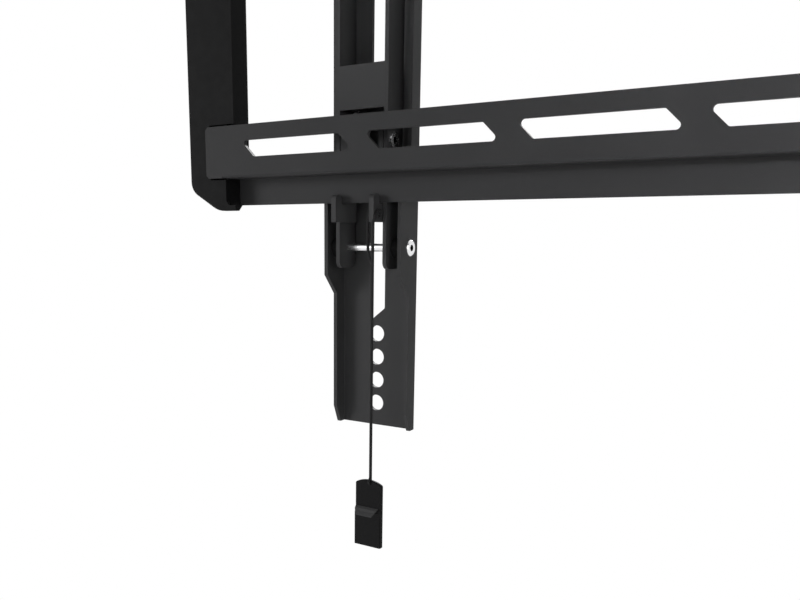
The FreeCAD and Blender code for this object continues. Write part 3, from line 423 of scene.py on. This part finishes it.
MATERIALS = {
    "rail_steel": powder_coat("rail_powder_coat", RAIL_GREY),
    "black_steel": powder_coat("arm_powder_coat", ARM_GREY),
    # The zinc's riveted heads get painted shade in their hollows
    "zinc_steel": bright_steel("zinc_steel", ZINC, ZINC_ROUGHNESS, MARKS_ALONG_X, rivet_axes()),
    "spring_steel": bright_steel("spring_wire", SPRING_STEEL, SPRING_ROUGHNESS, MARKS_ALONG_Z),
    "dark_plastic": moulded_plastic("cover_plastic", COVER_GREY, COVER_GRAIN),
    # The tag's ridge gets a painted highlight
    "black_plastic": moulded_plastic("tag_plastic", TAG_GREY, TAG_GRAIN, ridge_highlight_mask),
    "black_cord": braided_cord("cord_braid", CORD_BLACK),
}


def dress(piece, material):
    piece.data.materials.clear()
    piece.data.materials.append(material)


def break_edges(piece, width):
    """Rounds the sharp edges of a piece a little."""
    edges = piece.modifiers.new("edge_break", "BEVEL")
    edges.width = width
    edges.segments = EDGE_SEGMENTS
    edges.limit_method = "ANGLE"
    edges.angle_limit = EDGE_ANGLE


slot_of = {entry["node"]: entry["material_slot"] for entry in frame["record"]["subparts"]}
for node_name, piece in nodes.items():
    dress(piece, MATERIALS[slot_of[node_name]])
    for ending, width in EDGE_BREAK.items():
        if node_name.endswith(ending):
            break_edges(piece, width)


# Pieces with a finer form than their solids

def spline_points(points, steps):
    """Points along a smooth NURBS line through a route's control points."""
    curve = bpy.data.curves.new("route", "CURVE")
    curve.dimensions = "3D"
    curve.resolution_u = steps
    spline = curve.splines.new("NURBS")
    spline.points.add(len(points) - 1)
    for point, place in zip(spline.points, points):
        point.co = (*place, 1)
    spline.order_u = 3
    spline.use_endpoint_u = True
    carrier = bpy.data.objects.new("route", curve)
    bpy.context.scene.collection.objects.link(carrier)
    line = bpy.data.meshes.new_from_object(carrier)
    found = [vertex.co.copy() for vertex in line.vertices]
    bpy.data.objects.remove(carrier)
    bpy.data.meshes.remove(line)
    bpy.data.curves.remove(curve)
    return found


def add_tube(mesh, line, radius, sides):
    """Adds a closed round tube along a line of points to a bmesh."""
    rings = []
    side = Vector((1, 0, 0))
    for index, point in enumerate(line):
        before = line[max(index - 1, 0)]
        after = line[min(index + 1, len(line) - 1)]
        along = (after - before).normalized()
        side = (side - along * side.dot(along)).normalized()
        other = along.cross(side)
        ring = []
        for step in range(sides):
            angle = 2 * math.pi * step / sides
            outwards = math.cos(angle) * side + math.sin(angle) * other
            ring.append(mesh.verts.new(point + radius * outwards))
        rings.append(ring)
    for lower, upper in zip(rings, rings[1:]):
        for step in range(sides):
            following = (step + 1) % sides
            mesh.faces.new((lower[step], lower[following], upper[following], upper[step]))
    mesh.faces.new(list(reversed(rings[0])))
    mesh.faces.new(rings[-1])


def new_piece(name, mesh, material):
    """An object made from a bmesh, with its four-sided faces smooth."""
    data = bpy.data.meshes.new(name)
    mesh.normal_update()
    mesh.to_mesh(data)
    mesh.free()
    for face in data.polygons:
        face.use_smooth = len(face.vertices) == 4
    piece = bpy.data.objects.new(name, data)
    bpy.context.scene.collection.objects.link(piece)
    dress(piece, material)
    return piece


def tube_piece(name, line, radius, sides, material):
    """A piece that is one round tube along a line of points."""
    mesh = bmesh.new()
    add_tube(mesh, line, radius, sides)
    return new_piece(name, mesh, material)


def cord_places(side, offsets, from_tag=False):
    """A way's points in metres, from its offsets to the solid cord's upper or lower end."""
    low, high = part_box(f"{side}_pull_cord")
    middle_x, middle_y = (low.x + high.x) / 2, (low.y + high.y) / 2
    start = low.z if from_tag else high.z
    return [(middle_x + x / 1000, middle_y + y / 1000, start + z / 1000) for x, y, z in offsets]


def make_cord(side):
    """The release cord, straight down from the corner of the latch's hook to its tag."""
    low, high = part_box(f"{side}_pull_cord")
    length = high.z - low.z
    thickness = high.x - low.x
    hanging = [(*CORD_LEAN, -1000 * length * share) for share in CORD_SHARES]
    line = spline_points(cord_places(side, CORD_TOP + hanging), CORD_STEPS)
    piece = tube_piece(f"{side}_cord_line", line, thickness / 2, CORD_SIDES, MATERIALS["black_cord"])
    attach(piece, f"{side}_latch_body")
    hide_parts(f"{side}_pull_cord")


def make_cord_loop(side):
    """The cord's loop: round the corner of the latch's hook, through its hole and down to the cord."""
    line = spline_points(cord_places(side, LOOP_WAY), LOOP_STEPS)
    piece = tube_piece(f"{side}_cord_loop", line, LOOP_RADIUS, LOOP_SIDES, MATERIALS["black_cord"])
    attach(piece, f"{side}_latch_body")


def make_tag_tie(side):
    """The end of the cord, tied through the tag."""
    line = spline_points(cord_places(side, TIE_WAY, from_tag=True), TIE_STEPS)
    piece = tube_piece(f"{side}_tag_tie", line, TIE_RADIUS, TIE_SIDES, MATERIALS["black_cord"])
    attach(piece, f"{side}_latch_body")


def end_hook(centre, coil_end, far_face, way):
    """The straight end of the spring's wire, through its hole and bent over the far face."""
    crest = far_face + way * (COIL_WIRE + HOOK_CLEAR)
    return spline_points([
        (centre.x, centre.y, coil_end),
        (centre.x, centre.y, (coil_end + crest) / 2),
        (centre.x, centre.y, crest),
        (centre.x, centre.y + HOOK_REACH / 2, crest),
        (centre.x, centre.y + HOOK_REACH, crest),
    ], HOOK_STEPS)


def make_spring(side):
    """The latch's close-wound extension spring, hooked into the latch's tongue and the tie's tab."""
    node = f"{side}_latch_spring"
    low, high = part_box(node)
    centre = (low + high) / 2
    radius = (high.x - low.x) / 2 - COIL_WIRE
    coil_low, coil_high = low.z + COIL_CLEAR, high.z - COIL_CLEAR
    steps = COIL_TURNS * COIL_STEPS
    coil = []
    # The points on the axis at the coil's two ends belong to the hooks
    for step in range(1, steps):
        angle = 2 * math.pi * step / COIL_STEPS
        reach = radius * min(1, step / COIL_LEAD, (steps - step) / COIL_LEAD)
        across = centre.x + reach * math.cos(angle)
        inwards = centre.y + reach * math.sin(angle)
        height = coil_low + (coil_high - coil_low) * step / steps
        coil.append(Vector((across, inwards, height)))
    lower = end_hook(centre, coil_low, low.z - TONGUE_REACH, -1)
    upper = end_hook(centre, coil_high, high.z + TAB_REACH, 1)
    line = [*reversed(lower), *coil, *upper]
    piece = tube_piece(f"{side}_spring_coil", line, COIL_WIRE, COIL_SIDES, MATERIALS["spring_steel"])
    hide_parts(node)
    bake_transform(piece)


for side in SIDES:
    make_cord(side)
    make_cord_loop(side)
    make_tag_tie(side)
    make_spring(side)


# Camera

camera_data = bpy.data.cameras.new("camera")
camera = bpy.data.objects.new("camera", camera_data)
bpy.context.scene.collection.objects.link(camera)
camera.location = CAMERA_PLACE
camera.rotation_euler = (math.radians(90 + CAMERA_PITCH), 0, math.radians(CAMERA_YAW))
camera_data.sensor_width = CAMERA_SENSOR
camera_data.lens = CAMERA_LENS
camera_data.shift_x, camera_data.shift_y = CAMERA_SHIFT
camera_data.clip_start = CAMERA_NEAR
bpy.context.scene.camera = camera


# White studio

def white_where_seen(tree, surface, output, white_node):
    """Mixes a shader with plain white for what the camera, a gloss or a clear piece sees directly."""
    path = tree.nodes.new("ShaderNodeLightPath")
    white = tree.nodes.new(white_node)
    white.inputs["Color"].default_value = WHITE
    white.inputs["Strength"].default_value = 1
    seen = combine(tree, "MAXIMUM", path.outputs["Is Camera Ray"], path.outputs["Is Glossy Ray"])
    seen = combine(tree, "MAXIMUM", seen, path.outputs["Is Transmission Ray"])
    mix = tree.nodes.new("ShaderNodeMixShader")
    for source, socket in zip((seen, surface, white.outputs[0]), mix.inputs):
        link(tree, source, socket)
    link(tree, mix.outputs[0], output.inputs["Surface"])


world = bpy.data.worlds.new("studio")
bpy.context.scene.world = world
world.use_nodes = True
sky_tree = world.node_tree
sky = sky_tree.nodes["Background"]
sky.inputs["Color"].default_value = WHITE
sky.inputs["Strength"].default_value = SKY_STRENGTH
white_where_seen(sky_tree, sky.outputs[0], sky_tree.nodes["World Output"], "ShaderNodeBackground")

floor_material, floor_tree, floor_shader = node_tree("floor_white")
floor_shader.inputs["Base Color"].default_value = FLOOR_WHITE
floor_shader.inputs["Roughness"].default_value = FLOOR_ROUGHNESS
floor_output = floor_tree.nodes["Material Output"]
white_where_seen(floor_tree, floor_shader.outputs[0], floor_output, "ShaderNodeEmission")

floor_mesh = bmesh.new()
bmesh.ops.create_grid(floor_mesh, x_segments=1, y_segments=1, size=FLOOR_HALF_WIDTH)
floor = new_piece("floor", floor_mesh, floor_material)
floor.location = (0, 0, FLOOR_HEIGHT)


def area_light(name, place, target, size, power, spread_angle=OPEN_LAMP):
    """A round soft lamp, turned to a target. A grid on its front narrows the spread of its light."""
    data = bpy.data.lights.new(name, "AREA")
    data.shape = "DISK"
    data.size = size
    data.spread = math.radians(spread_angle)
    data.energy = power
    lamp = bpy.data.objects.new(name, data)
    bpy.context.scene.collection.objects.link(lamp)
    lamp.location = place
    lamp.rotation_euler = (Vector(target) - Vector(place)).to_track_quat("-Z", "Y").to_euler()


area_light("left_key", place=(-2.28, -1.92, 0.22), target=LEFT_ARM_FOOT, size=1.12, power=42.5)
area_light("front_fill", place=(-0.1, -1.9, -0.3), target=LEFT_ARM_FOOT, size=0.7, power=3.9)
area_light("right_fill", place=(1.5, -0.75, 0.1), target=LEFT_ARM_FOOT, size=0.7, power=5.9)
area_light(
    "rail_fill", place=(0.9, -1.9, 0.25), target=(0.19, 0, 0.07), size=0.4, power=1.05, spread_angle=17.5
)
area_light("screen_side_fill", place=(-0.7, 2.2, 1.1), target=(0, 0, 0), size=0.9, power=90)

bpy.context.scene.view_settings.view_transform = "Standard"
